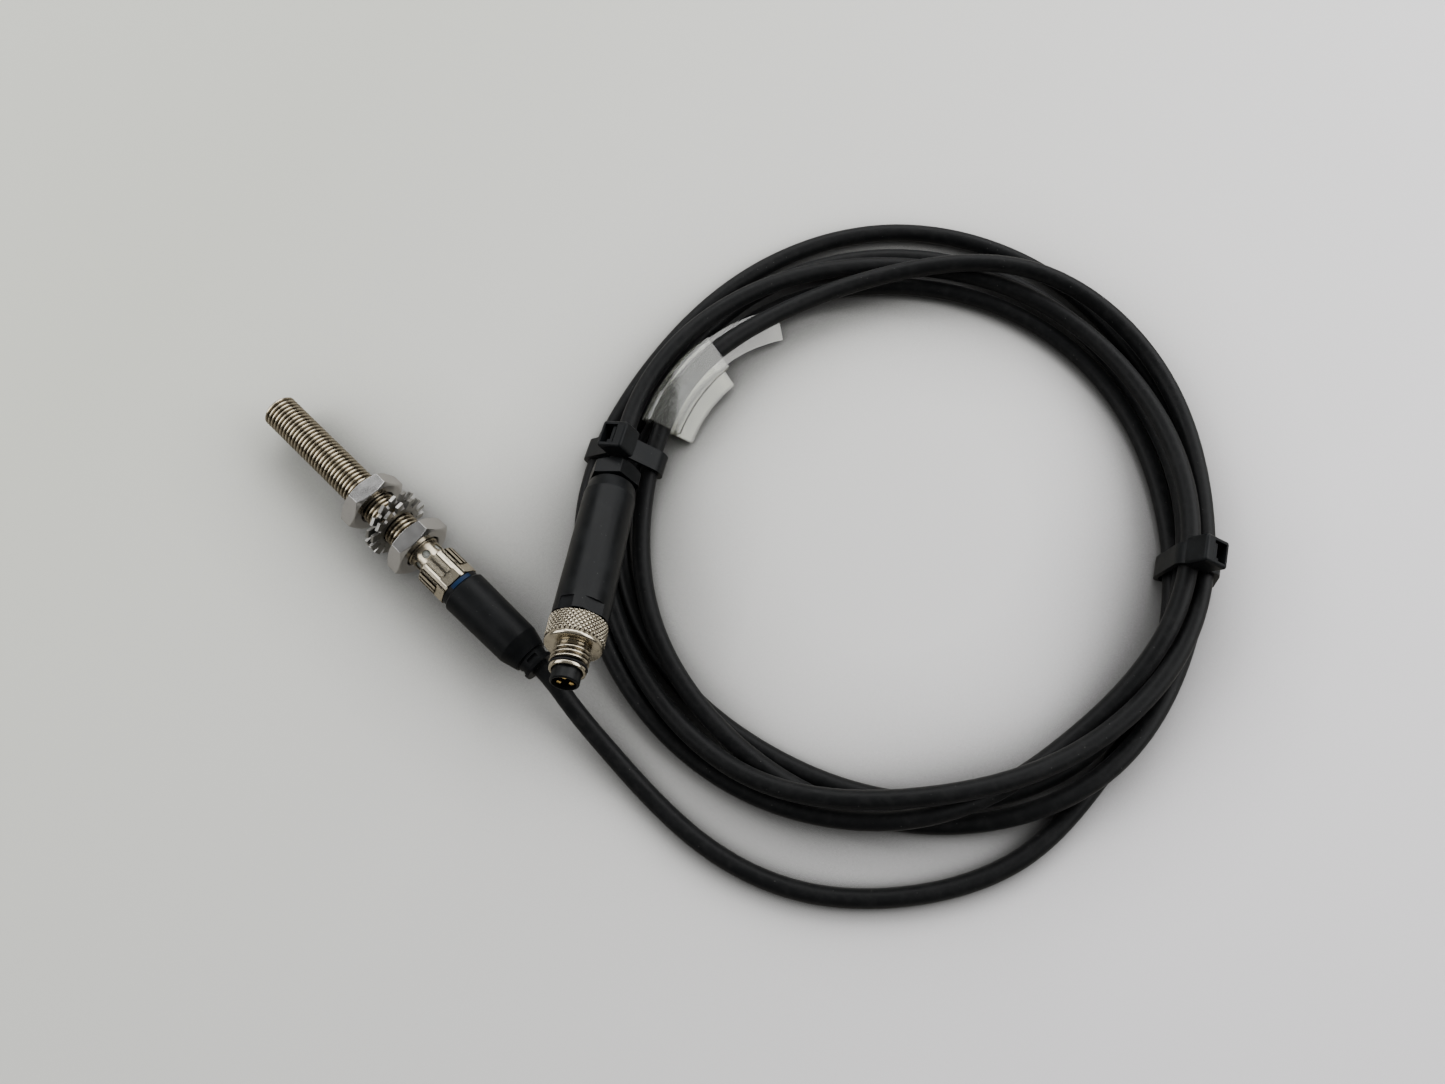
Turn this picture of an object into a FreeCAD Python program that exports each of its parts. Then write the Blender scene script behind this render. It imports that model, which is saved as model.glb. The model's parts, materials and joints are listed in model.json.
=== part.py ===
import FreeCAD, Part

import math
import os

import Sketcher

# An M8 x 1 inductive proximity sensor on a two-metre cable that ends in an M8 plug.
# The frame: the origin is the centre of the sensor's active face, +X runs along the barrel
# towards the cable, and +Z is up. The sensor and the coiled cable lie on a level table.

V = FreeCAD.Vector
ALONG_X = FreeCAD.Rotation(V(0, 1, 0), 90)

DIMENSIONS = (
    # the barrel and its M8 x 1 thread
    ("crest_radius", 4.0),
    ("thread_pitch", 1.0),
    ("thread_depth", 0.54),
    ("thread_start", 1.0),
    ("thread_end", 49.5),
    ("rim_chamfer", 0.35),
    ("neck_radius", 3.5),
    ("neck_end", 53.6),
    ("barrel_end", 58.6),
    ("bore_radius", 3.1),
    ("window_radius", 0.95),
    ("window_x", 51.6),
    # inside the barrel
    ("fit_gap", 0.1),
    ("cap_floor", 0.8),
    ("cap_length", 7.0),
    ("cap_wall", 0.3),
    ("core_radius", 2.55),
    ("core_length", 3.0),
    ("core_post_radius", 1.05),
    ("winding_radius", 1.8),
    ("board_start", 7.8),
    ("board_end", 52.3),
    ("board_width", 4.4),
    ("board_thickness", 0.8),
    ("light_ring_length", 2.8),
    ("light_ring_wall", 0.35),
    # the M8 contacts, the same in the sensor and in the plug
    ("pin_radius", 0.5),
    ("pin_circle", 1.45),
    ("pin_carrier_start", 53.2),
    ("pin_carrier_end", 54.5),
    ("sensor_pin_end", 58.0),
    # nuts and lock washers
    ("nut_flats", 13.0),
    ("nut_thickness", 4.0),
    ("nut_bore_radius", 4.1),
    ("nut_face_radius", 6.3),
    ("front_nut_x", 30.2),
    ("rear_nut_x", 45.3),
    ("washer_hole_radius", 4.25),
    ("washer_ring_radius", 5.7),
    ("washer_radius", 7.5),
    ("washer_thickness", 0.7),
    ("front_washer_x", 38.7),
    ("rear_washer_x", 40.7),
    # the coupling nut on the cable's socket
    ("coupling_start", 53.4),
    ("coupling_end", 60.85),
    ("coupling_radius", 5.0),
    ("coupling_bore_radius", 4.15),
    ("coupling_flange_radius", 3.3),
    ("coupling_flange_x", 60.05),
    ("coupling_flats", 9.3),
    ("coupling_flats_x", 58.5),
    ("rib_groove_width", 0.6),
    ("rib_groove_depth", 0.4),
    ("valley_width", 1.1),
    # the socket inside it
    ("socket_nose_x", 54.8),
    ("socket_nose_radius", 2.85),
    ("socket_collar_x", 59.2),
    ("socket_collar_radius", 3.85),
    ("socket_neck_x", 59.9),
    ("socket_neck_radius", 3.1),
    ("socket_end", 66.5),
    ("contact_hole_radius", 0.9),
    ("contact_radius", 0.8),
    ("contact_bore_radius", 0.6),
    ("seal_radius", 3.2),
    ("seal_thickness", 0.5),
    # the moulded grip behind the coupling nut
    ("grip_collar_x", 61.05),
    ("grip_collar_radius", 4.65),
    ("grip_x", 62.3),
    ("grip_front_radius", 5.2),
    ("grip_rear_radius", 4.95),
    ("grip_taper_x", 79.5),
    ("grip_neck_x", 83.4),
    ("grip_neck_radius", 3.7),
    ("grip_end", 86.5),
    ("marker_radius", 4.95),
    ("marker_start", 61.3),
    ("marker_end", 62.2),
    # the cable
    ("cable_radius", 2.05),
    ("jacket_bore_radius", 1.6),
    ("wire_radius", 0.6),
    ("wire_circle", 0.8),
    ("cable_start_x", 70.0),
    ("table_drop", 7.6),
    ("coil_x", 118.7),
    ("coil_y", 82.6),
    ("coil_heading", 43.5),
    # the plug, along its own axis from the rear of its gland nut
    ("plug_x", 67.3),
    ("plug_y", 42.2),
    ("plug_z", 2.2),
    ("plug_heading", -54.6),
    ("plug_tilt", 17.7),
    ("gland_flats", 10.2),
    ("gland_head_length", 4.4),
    ("gland_spigot_end", 9.4),
    ("gland_spigot_radius", 4.3),
    ("gland_bore_radius", 3.6),
    ("plug_body_x", 5.2),
    ("plug_rear_radius", 5.2),
    ("plug_taper_end", 8.3),
    ("plug_radius", 5.75),
    ("plug_front_radius", 5.95),
    ("plug_body_end", 39.6),
    ("plug_wall_radius", 4.5),
    ("plug_mouth_radius", 4.0),
    ("plug_mouth_x", 36.0),
    ("ring_x", 39.8),
    ("ring_end", 45.8),
    ("ring_radius", 6.15),
    ("ring_bore_radius", 3.15),
    ("ring_sleeve_x", 36.4),
    ("ring_sleeve_radius", 3.85),
    ("undercut_radius", 3.4),
    ("plug_thread_x", 46.6),
    ("plug_thread_end", 49.7),
    ("plug_tip_x", 51.2),
    ("plug_seal_radius", 3.66),
    ("plug_seal_thickness", 0.6),
    ("insert_block_x", 20.0),
    ("insert_block_end", 35.8),
    ("insert_radius", 3.0),
    ("insert_end", 53.8),
    ("insert_cup_x", 49.8),
    ("insert_cup_radius", 2.55),
    ("plug_pin_x", 22.0),
    ("plug_pin_end", 53.2),
    ("screw_x", 26.0),
    ("screw_radius", 0.9),
    # the cable ties
    ("tie_reach", 65.0),
    ("tie_width", 4.8),
    ("tie_thickness", 1.0),
    ("tie_head_length", 6.6),
    ("tie_head_width", 6.2),
    ("tie_head_height", 5.3),
    ("window_border", 0.9),
    ("window_width", 3.4),
    ("window_length", 4.4),
    # the clear marker sleeve and its strip
    ("sleeve_bend_radius", 43.3),
    ("sleeve_sweep", 29.0),
    ("sleeve_wall", 0.4),
    ("sleeve_half_width", 4.3),
    ("sleeve_top", 2.6),
    ("sleeve_bottom", -2.9),
    ("sleeve_flap", 4.4),
    ("sleeve_flap_thickness", 1.5),
    ("strip_sweep", 53.0),
    ("strip_half_width", 3.7),
    ("strip_thickness", 0.2),
)

PIN_COUNT = 3
WINDOW_COUNT = 6
WASHER_TEETH = 14
TOOTH_TWIST = 10.0
NUT_SIDES = 6

# Where the cable lies. The tail runs from the grip to the coil: X, Y and how far it is lifted
# above the table. Each turn of the coil has a station every 30 degrees: its distance from the
# coil's centre and its lift, from the strand that lies at the bottom to the one on top.
TAIL = (
    (97.0, -1.2, 2.9),
    (107.0, -2.2, 1.3),
    (120.0, -3.0, 0.0),
    (135.0, -2.6, 0.0),
    (148.0, 0.3, 0.0),
    (160.0, 6.2, 0.0),
    (171.3, 15.9, 0.0),
    (180.0, 27.1, 0.0),
    (186.2, 40.6, 0.0),
)
FIRST_STATION = 300.0
STATION_STEP = 30.0
COIL = (
    # the first turn slips under the others and runs along the inside
    (72.4, 0.0), (64.0, 0.0), (58.9, 0.0), (57.8, 0.0), (57.3, 0.0), (57.0, 0.0),
    (58.3, 0.0), (59.3, 0.0), (63.8, 0.0), (65.3, 0.0), (64.0, 0.0), (65.5, 0.0),
    # the second turn crosses it at the right-hand tie and rises at the bottom
    (66.2, 1.0), (62.5, 4.5), (61.7, 3.8), (62.1, 0.9), (64.5, 0.0), (65.0, 0.0),
    (64.3, 0.0), (63.7, 0.0), (68.3, 0.0), (70.1, 1.5), (70.5, 6.0), (65.0, 9.5),
    # the third turn is the long strand that crosses everything at the top
    (64.2, 8.2), (65.3, 8.3), (65.3, 6.1), (68.2, 4.6), (65.0, 8.0), (57.5, 5.4),
    (54.8, 4.5), (57.3, 5.7), (59.3, 2.1), (63.5, 4.8), (67.0, 3.4), (70.0, 0.0),
    # the fourth turn runs along the outside
    (71.0, 4.5), (67.2, 3.0), (66.5, 0.5), (67.6, 0.0), (71.0, 0.0), (72.0, 0.0),
    (69.2, 0.0), (68.1, 0.0), (72.7, 0.0), (74.2, 0.0), (73.2, 1.5), (68.7, 6.0),
    # the last turn lies on top and ends in the plug
    (61.9, 3.7), (60.9, 9.2), (61.0, 8.4), (61.0, 5.0), (61.0, 3.5), (61.2, 2.3),
    (62.6, 4.5), (65.3, 5.2),
)
TURN = 360.0
LEFT_TIE_ANGLE = 169.8
RIGHT_TIE_ANGLE = 345.8
STRAND_SAMPLES = 4000
SLEEVE_FROM = TURN * 3 + 140.0
SLEEVE_TO = TURN * 3 + 162.0

doc = FreeCAD.newDocument("ProximitySensor")
sheet = doc.addObject("Spreadsheet::Sheet", "Dimensions")
pieces = []


class Size:
    """A length or angle that knows its value and the spreadsheet formula it comes from."""

    def __init__(self, value, formula=None):
        self.value = float(value)
        self.formula = formula or repr(self.value)
        self.bound = formula is not None

    def _combine(self, other, sign, value):
        formula = f"({self.formula} {sign} {other.formula})"
        return Size(value, formula if self.bound or other.bound else None)

    def __add__(self, other):
        other = as_size(other)
        return self._combine(other, "+", self.value + other.value)

    def __sub__(self, other):
        other = as_size(other)
        return self._combine(other, "-", self.value - other.value)

    def __mul__(self, other):
        other = as_size(other)
        return self._combine(other, "*", self.value * other.value)

    def __truediv__(self, other):
        other = as_size(other)
        return self._combine(other, "/", self.value / other.value)

    def __radd__(self, other):
        return as_size(other) + self

    def __rsub__(self, other):
        return as_size(other) - self

    def __rmul__(self, other):
        return as_size(other) * self

    def __float__(self):
        return self.value


def as_size(value):
    return value if isinstance(value, Size) else Size(value)


class Sheet:
    """The driving dimensions, read as attributes."""

    def __init__(self, rows):
        self.values = dict(rows)
        for row, (alias, value) in enumerate(rows, start=1):
            sheet.set(f"A{row}", alias)
            sheet.set(f"B{row}", str(value))
            sheet.setAlias(f"B{row}", alias)

    def __getattr__(self, alias):
        return Size(self.values[alias], f"Dimensions.{alias}")


dim = Sheet(DIMENSIONS)
doc.recompute()


def bind(item, prop, size):
    """Set a property to a size, by its formula where it has one."""
    size = as_size(size)
    if size.bound:
        item.setExpression(prop, size.formula)
    elif "." in prop:
        item.setExpression(prop, repr(size.value))
    else:
        setattr(item, prop, size.value)


def piece(item, label, placement=None):
    """Name a finished sub-part. Its label is the name of its file."""
    item.Label = label
    if placement is not None:
        item.Placement = placement * item.Placement
    pieces.append(item)
    return item


# ---- building blocks -------------------------------------------------------------------------


def origin_plane(body, role):
    return next(plane for plane in body.Origin.OriginFeatures if plane.Role == role)


def pin_vertex(sketch, line, axis, size):
    """Hold the start of a sketch line at a distance from the sketch's origin."""
    size = as_size(size)
    if size.value == 0:
        other_axis = -2 if axis == "X" else -1
        sketch.addConstraint(Sketcher.Constraint("PointOnObject", line, 1, other_axis))
        return
    constraint = Sketcher.Constraint(f"Distance{axis}", -1, 1, line, 1, size.value)
    index = sketch.addConstraint(constraint)
    name = f"{axis.lower()}_of_corner_{line}"
    sketch.renameConstraint(index, name)
    if size.bound:
        sketch.setExpression(f"Constraints.{name}", size.formula)


def turned(name, outline, sweep=360):
    """A turned body: an outline of (x, radius) corners spun about the X axis."""
    body = doc.addObject("PartDesign::Body", name)
    sketch = body.newObject("Sketcher::SketchObject", name + "_outline")
    sketch.AttachmentSupport = (origin_plane(body, "XZ_Plane"), [""])
    sketch.MapMode = "FlatFace"
    corners = [V(as_size(x).value, as_size(radius).value, 0) for x, radius in outline]
    count = len(corners)
    for index, corner in enumerate(corners):
        sketch.addGeometry(Part.LineSegment(corner, corners[(index + 1) % count]), False)
    for index in range(count):
        joined = Sketcher.Constraint("Coincident", index, 2, (index + 1) % count, 1)
        sketch.addConstraint(joined)
    for index, (x, radius) in enumerate(outline):
        pin_vertex(sketch, index, "X", x)
        pin_vertex(sketch, index, "Y", radius)
    spin = body.newObject("PartDesign::Revolution", name + "_turned")
    spin.Profile = sketch
    spin.ReferenceAxis = (sketch, ["H_Axis"])
    bind(spin, "Angle", sweep)
    return body


def rod(name, radius, x_from, x_to, y=0, z=0):
    """A round bar along X."""
    bar = doc.addObject("Part::Cylinder", name)
    bind(bar, "Radius", radius)
    bind(bar, "Height", x_to - x_from)
    bar.Placement = FreeCAD.Placement(V(0, y, z), ALONG_X)
    bind(bar, "Placement.Base.x", x_from)
    return bar


def box(name, x_from, x_to, y_size, z_from, z_to, y=0):
    """A block along X, centred on y."""
    block = doc.addObject("Part::Box", name)
    bind(block, "Length", x_to - x_from)
    bind(block, "Width", y_size)
    bind(block, "Height", as_size(z_to) - z_from)
    bind(block, "Placement.Base.x", x_from)
    bind(block, "Placement.Base.y", as_size(y) - as_size(y_size) / 2)
    bind(block, "Placement.Base.z", z_from)
    return block


def hexagon(name, flats, x_from, length, roll=0.0):
    """A six-sided bar along X with one flat facing up, turned by roll about its axis."""
    prism = doc.addObject("Part::Prism", name)
    prism.Polygon = NUT_SIDES
    bind(prism, "Circumradius", flats / 3**0.5)
    bind(prism, "Height", length)
    spin = FreeCAD.Rotation(V(1, 0, 0), roll)
    facet_up = FreeCAD.Rotation(V(0, 0, 1), 30)
    prism.Placement = FreeCAD.Placement(V(0, 0, 0), spin * ALONG_X * facet_up)
    bind(prism, "Placement.Base.x", x_from)
    return prism


def cut(name, base, tool):
    item = doc.addObject("Part::Cut", name)
    item.Base = base
    item.Tool = tool
    return item


def fuse(name, shapes):
    item = doc.addObject("Part::MultiFuse", name)
    item.Shapes = shapes
    return item


def common(name, base, tool):
    item = doc.addObject("Part::Common", name)
    item.Base = base
    item.Tool = tool
    return item


def feature(name, shape, placement=None):
    """A sub-part whose shape comes from Part's own functions."""
    item = doc.addObject("Part::Feature", name)
    item.Shape = shape
    if placement is not None:
        item.Placement = placement
    return item


def around_x(shape, angle):
    turned_copy = shape.copy()
    turned_copy.rotate(V(0, 0, 0), V(1, 0, 0), angle)
    return turned_copy


def contact_places():
    """The (y, z) places of the three contacts, one at the top and two below."""
    circle = dim.pin_circle.value
    for index in range(PIN_COUNT):
        angle = math.radians(90 + index * 360 / PIN_COUNT)
        yield circle * math.cos(angle), circle * math.sin(angle)


def contact_rods(name, radius, x_from, x_to):
    """One rod on each contact's axis."""
    return [
        rod(f"{name}_{index}", radius, x_from, x_to, y, z)
        for index, (y, z) in enumerate(contact_places())
    ]


def thread_grooves(x_first, x_last):
    """The V grooves of an M8 x 1 thread, one closed ring for each pitch."""
    pitch = dim.thread_pitch.value
    root = dim.crest_radius.value - dim.thread_depth.value
    outside = dim.crest_radius.value + dim.thread_depth.value / 5
    half_root = pitch / 16
    half_mouth = half_root + (outside - root) * math.tan(math.radians(30))
    rings = []
    for index in range(int(round((x_last - x_first) / pitch, 3)) + 1):
        x = x_first + index * pitch
        corners = (
            V(x - half_root, 0, root),
            V(x + half_root, 0, root),
            V(x + half_mouth, 0, outside),
            V(x - half_mouth, 0, outside),
            V(x - half_root, 0, root),
        )
        profile = Part.Face(Part.makePolygon(corners))
        rings.append(profile.revolve(V(0, 0, 0), V(1, 0, 0), 360))
    return Part.makeCompound(rings)


# ---- the sensor ------------------------------------------------------------------------------


def build_barrel():
    chamfer = dim.rim_chamfer
    crest = dim.crest_radius
    edge = crest - chamfer
    blank = turned("barrel_blank", (
        (0, dim.bore_radius),
        (0, edge),
        (chamfer, crest),
        (dim.thread_end - chamfer, crest),
        (dim.thread_end, edge),
        (dim.thread_end, dim.neck_radius),
        (dim.neck_end, dim.neck_radius),
        (dim.neck_end, edge),
        (dim.neck_end + chamfer, crest),
        (dim.barrel_end - chamfer, crest),
        (dim.barrel_end, edge),
        (dim.barrel_end, dim.bore_radius),
    ))
    doc.recompute()
    pitch = dim.thread_pitch.value
    long_thread = feature(
        "long_thread_grooves",
        thread_grooves(dim.thread_start.value, dim.thread_end.value - pitch / 2),
    )
    rear_thread = feature(
        "connector_thread_grooves",
        thread_grooves(dim.neck_end.value + pitch, dim.barrel_end.value - pitch / 2),
    )
    windows = [
        around_x(
            Part.makeCylinder(dim.window_radius.value, dim.crest_radius.value,
                              V(dim.window_x.value, 0, 1)),
            index * 360 / WINDOW_COUNT,
        )
        for index in range(WINDOW_COUNT)
    ]
    window_drills = feature("window_drills", Part.makeCompound(windows))
    threaded = cut("threaded_barrel", blank, long_thread)
    both = cut("barrel_with_both_threads", threaded, rear_thread)
    piece(cut("barrel_solid", both, window_drills), "barrel")


def build_sensing_head():
    outer = dim.bore_radius - dim.fit_gap
    inner = outer - dim.cap_wall
    piece(turned("cap_body", (
        (0, 0),
        (0, outer),
        (dim.cap_length, outer),
        (dim.cap_length, inner),
        (dim.cap_floor, inner),
        (dim.cap_floor, 0),
    )), "sensing_cap")

    front = dim.cap_floor + dim.fit_gap
    back = front + dim.core_length
    floor = back - 0.9
    wall = dim.core_radius - 0.5
    piece(turned("core_body", (
        (front, 0),
        (front, dim.core_post_radius),
        (floor, dim.core_post_radius),
        (floor, wall),
        (front, wall),
        (front, dim.core_radius),
        (back, dim.core_radius),
        (back, 0),
    )), "ferrite_core")

    piece(turned("winding_body", (
        (front + dim.fit_gap, dim.core_post_radius + dim.fit_gap),
        (front + dim.fit_gap, dim.winding_radius),
        (floor - dim.fit_gap, dim.winding_radius),
        (floor - dim.fit_gap, dim.core_post_radius + dim.fit_gap),
    )), "sensing_coil")


def build_electronics():
    top = dim.board_thickness / 2
    piece(box("board", dim.board_start, dim.board_end, dim.board_width, 0 - top, top),
          "circuit_board")

    # the parts soldered on the board: x, y, length, width, height and side (1 is the top)
    soldered = (
        (12.0, 0.0, 3.0, 3.0, 0.9, 1),
        (17.5, -0.9, 1.6, 0.8, 0.5, 1),
        (17.5, 0.9, 1.6, 0.8, 0.5, 1),
        (21.5, 0.0, 4.0, 2.6, 1.1, 1),
        (28.5, -0.8, 2.0, 1.2, 0.8, 1),
        (28.5, 1.0, 1.6, 0.8, 0.5, 1),
        (33.5, 0.0, 3.0, 1.6, 1.2, 1),
        (39.5, 0.0, 2.2, 2.8, 1.0, 1),
        (14.0, 0.0, 2.4, 1.4, 0.8, -1),
        (22.0, 0.0, 3.2, 2.6, 1.0, -1),
        (31.0, 0.9, 1.6, 0.8, 0.5, -1),
        (31.0, -0.9, 1.6, 0.8, 0.5, -1),
        (37.5, 0.0, 3.4, 2.4, 1.1, -1),
    )
    gap = dim.fit_gap.value / 2
    solids = []
    for x, y, length, width, height, side in soldered:
        bottom = top.value + gap if side > 0 else -top.value - gap - height
        solids.append(Part.makeBox(length, width, height, V(x, y - width / 2, bottom)))
    piece(feature("soldered_parts", Part.makeCompound(solids)), "board_components")

    lamps = []
    for side in (1, -1):
        bottom = top.value + gap if side > 0 else -top.value - gap - 0.6
        lamp = Part.makeBox(1.6, 0.8, 0.6, V(dim.window_x.value - 1.2, -0.4, bottom))
        lamps.append(lamp)
    piece(feature("lamps", Part.makeCompound(lamps)), "status_leds")

    outer = dim.bore_radius - 0.05
    start = dim.window_x - dim.light_ring_length / 2
    end = dim.window_x + dim.light_ring_length / 2
    inner = outer - dim.light_ring_wall
    piece(turned("light_ring_body", (
        (start, inner), (start, outer), (end, outer), (end, inner),
    )), "light_ring")


def build_sensor_pins():
    disc = rod("pin_disc", dim.bore_radius - 0.05, dim.pin_carrier_start, dim.pin_carrier_end)
    holes = fuse("pin_disc_holes", contact_rods(
        "pin_disc_hole", dim.pin_radius + 0.05, dim.pin_carrier_start - 1,
        dim.pin_carrier_end + 1,
    ))
    piece(cut("pin_disc_drilled", disc, holes), "sensor_pin_carrier")
    pins = contact_rods("sensor_pin", dim.pin_radius, dim.board_end + 0.2, dim.sensor_pin_end)
    piece(fuse("sensor_pin_set", pins), "sensor_pins")


# ---- nuts and washers ------------------------------------------------------------------------


def build_nut(label, x_from, roll):
    """A thin M8 nut whose six corners are chamfered on both faces."""
    x_to = x_from + dim.nut_thickness
    corner = dim.nut_flats * (2 / 3**0.5 / 2)
    slope = (corner - dim.nut_face_radius) * math.tan(math.radians(30))
    prism = hexagon(label + "_prism", dim.nut_flats, x_from, dim.nut_thickness, roll)
    lens = turned(label + "_chamfers", (
        (x_from, 0),
        (x_from, dim.nut_face_radius),
        (x_from + slope, corner),
        (x_to - slope, corner),
        (x_to, dim.nut_face_radius),
        (x_to, 0),
    ))
    lead = 0.4
    hole = turned(label + "_bore", (
        (x_from - 0.1, 0),
        (x_from - 0.1, dim.nut_bore_radius + lead),
        (x_from + lead, dim.nut_bore_radius),
        (x_to - lead, dim.nut_bore_radius),
        (x_to + 0.1, dim.nut_bore_radius + lead),
        (x_to + 0.1, 0),
    ))
    chamfered = common(label + "_chamfered", prism, lens)
    piece(cut(label + "_bored", chamfered, hole), label)


def build_washer(label, x, tilt):
    """An external-tooth lock washer: a ring whose teeth are twisted about their own length."""
    thickness = dim.washer_thickness.value
    inside = dim.washer_hole_radius.value
    ring_radius = dim.washer_ring_radius.value
    ring = Part.makeCylinder(ring_radius, thickness, V(0, 0, -thickness / 2))
    tooth_width = 2 * math.pi * ring_radius / WASHER_TEETH * 0.72
    tooth_length = dim.washer_radius.value - ring_radius + 0.4
    teeth = []
    for index in range(WASHER_TEETH):
        tooth = Part.makeBox(tooth_length, tooth_width, thickness,
                             V(ring_radius - 0.4, -tooth_width / 2, -thickness / 2))
        tooth.rotate(V(0, 0, 0), V(1, 0, 0), TOOTH_TWIST)
        tooth.rotate(V(0, 0, 0), V(0, 0, 1), index * 360 / WASHER_TEETH)
        teeth.append(tooth)
    hole = Part.makeCylinder(inside, thickness * 4, V(0, 0, -thickness * 2))
    shape = ring.multiFuse(teeth).cut(hole).removeSplitter()
    lean = FreeCAD.Rotation(V(0, 0, 1), tilt) * ALONG_X
    piece(feature(label + "_stamping", shape), label,
          FreeCAD.Placement(V(x.value, 0, 0), lean))


# ---- the coupling nut and the cable socket -----------------------------------------------------


def build_coupling_nut():
    start = dim.coupling_start
    end = dim.coupling_end
    radius = dim.coupling_radius
    blank = turned("coupling_blank", (
        (start, dim.coupling_bore_radius),
        (start, radius - 0.3),
        (start + 0.3, radius),
        (end - 0.2, radius),
        (end, radius - 0.2),
        (end, dim.coupling_flange_radius),
        (dim.coupling_flange_x, dim.coupling_flange_radius),
        (dim.coupling_flange_x, dim.coupling_bore_radius),
    ))
    length = end.value - start.value
    ribbed = dim.coupling_flats_x.value - start.value
    floor = radius.value - dim.rib_groove_depth.value
    flat = dim.coupling_flats.value / 2
    cuts = []
    for side in range(NUT_SIDES):
        middle = side * 360 / NUT_SIDES
        # three fine grooves leave four ribs over each flat
        for offset in (-15.0, 0.0, 15.0):
            width = dim.rib_groove_width.value
            groove = Part.makeBox(ribbed + 1, width, 2, V(start.value - 1, -width / 2, floor))
            cuts.append(around_x(groove, middle + offset))
        # a wide valley runs along each corner
        width = dim.valley_width.value
        valley = Part.makeBox(length + 2, width, 2, V(start.value - 1, -width / 2, floor))
        cuts.append(around_x(valley, middle + 30))
        plane = Part.makeBox(end.value - dim.coupling_flats_x.value + 1, 6, 2,
                             V(dim.coupling_flats_x.value, -3, flat))
        cuts.append(around_x(plane, middle))
    tools = feature("coupling_cutters", cuts[0].multiFuse(cuts[1:]))
    doc.recompute()
    piece(cut("coupling_milled", blank, tools), "coupling_nut")


def build_socket():
    blank = turned("socket_blank", (
        (dim.socket_nose_x, 0),
        (dim.socket_nose_x, dim.socket_nose_radius - 0.3),
        (dim.socket_nose_x + 0.3, dim.socket_nose_radius),
        (dim.socket_collar_x, dim.socket_nose_radius),
        (dim.socket_collar_x, dim.socket_collar_radius),
        (dim.socket_neck_x, dim.socket_collar_radius),
        (dim.socket_neck_x, dim.socket_neck_radius),
        (dim.socket_end, dim.socket_neck_radius),
        (dim.socket_end, 0),
    ))
    holes = fuse("socket_holes", contact_rods(
        "socket_hole", dim.contact_hole_radius, dim.socket_nose_x - 1, dim.socket_end + 1))
    piece(cut("socket_drilled", blank, holes), "socket_insert")

    tubes = fuse("contact_tubes", contact_rods(
        "contact_tube", dim.contact_radius, dim.socket_nose_x + 0.2, dim.socket_end - 0.3))
    bores = fuse("contact_bores", contact_rods(
        "contact_bore", dim.contact_bore_radius, dim.socket_nose_x, dim.socket_nose_x + 5))
    piece(cut("contact_sleeves", tubes, bores), "socket_contacts")

    ring = doc.addObject("Part::Torus", "socket_seal_ring")
    bind(ring, "Radius1", dim.seal_radius)
    bind(ring, "Radius2", dim.seal_thickness / 2)
    ring.Placement = FreeCAD.Placement(V(0, 0, 0), ALONG_X)
    bind(ring, "Placement.Base.x", (dim.barrel_end + dim.socket_collar_x) / 2)
    piece(ring, "socket_seal")


def marker_sector(inner, outer, x_from, x_to):
    """A part of a ring that spans the marker's angle, on the grip's upper side."""
    span = 58.0
    middle = 13.5
    ring = Part.makeCylinder(outer, x_to - x_from, V(0, 0, 0), V(0, 0, 1), span)
    ring = ring.cut(Part.makeCylinder(inner, x_to - x_from))
    ring.rotate(V(0, 0, 0), V(0, 0, 1), -span / 2)
    ring.Placement = FreeCAD.Placement(V(x_from, 0, 0), ALONG_X) * ring.Placement
    # the sector's middle points down -Z after the turn onto X, so it is brought to the top
    return around_x(ring, 180 - middle)


def build_grip():
    bore = dim.cable_radius + 0.1
    cavity = dim.socket_neck_radius + dim.fit_gap
    cavity_end = dim.socket_end + 1.5
    blank = turned("grip_blank", (
        (dim.grip_collar_x, cavity),
        (dim.grip_collar_x, dim.grip_collar_radius),
        (dim.grip_x, dim.grip_collar_radius),
        (dim.grip_x, dim.grip_front_radius - 0.3),
        (dim.grip_x + 0.4, dim.grip_front_radius),
        (dim.grip_taper_x, dim.grip_rear_radius),
        (dim.grip_neck_x, dim.grip_neck_radius + 0.2),
        (dim.grip_neck_x, dim.grip_neck_radius - 0.3),
        (dim.grip_end - 0.8, dim.grip_neck_radius - 0.4),
        (dim.grip_end - 0.8, dim.grip_neck_radius),
        (dim.grip_end, dim.grip_neck_radius - 0.1),
        (dim.grip_end, bore),
        (cavity_end + 1, bore),
        (cavity_end, cavity),
    ))
    # four bending slots in the strain relief's neck
    slots = []
    for side in range(4):
        slot = Part.makeBox(1.0, 2.4, 2.0,
                            V(dim.grip_neck_x.value + 0.8, -1.2, dim.grip_neck_radius.value - 0.9))
        slots.append(around_x(slot, side * 90))
    seat = marker_sector(dim.grip_collar_radius.value - 0.5, dim.marker_radius.value + 1,
                         dim.marker_start.value - 0.05, dim.grip_x.value)
    tools = feature("grip_cutters", Part.makeCompound([*slots, seat]))
    doc.recompute()
    piece(cut("grip_moulding", blank, tools), "socket_grip")

    marker = marker_sector(dim.grip_collar_radius.value - 0.4, dim.marker_radius.value,
                           dim.marker_start.value, dim.marker_end.value)
    piece(feature("marker_inlay", marker), "blue_marker")


# ---- the cable -------------------------------------------------------------------------------


def resting_height():
    """The height of the axis of a strand that lies on the table."""
    return dim.cable_radius.value + 0.05 - dim.table_drop.value


def coil_point(angle, radius, lift):
    """A place in the coil, given by its angle, its distance from the centre and its lift."""
    heading = math.radians(angle + dim.coil_heading.value)
    return V(
        dim.coil_x.value + radius * math.cos(heading),
        dim.coil_y.value + radius * math.sin(heading),
        resting_height() + lift,
    )


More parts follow.
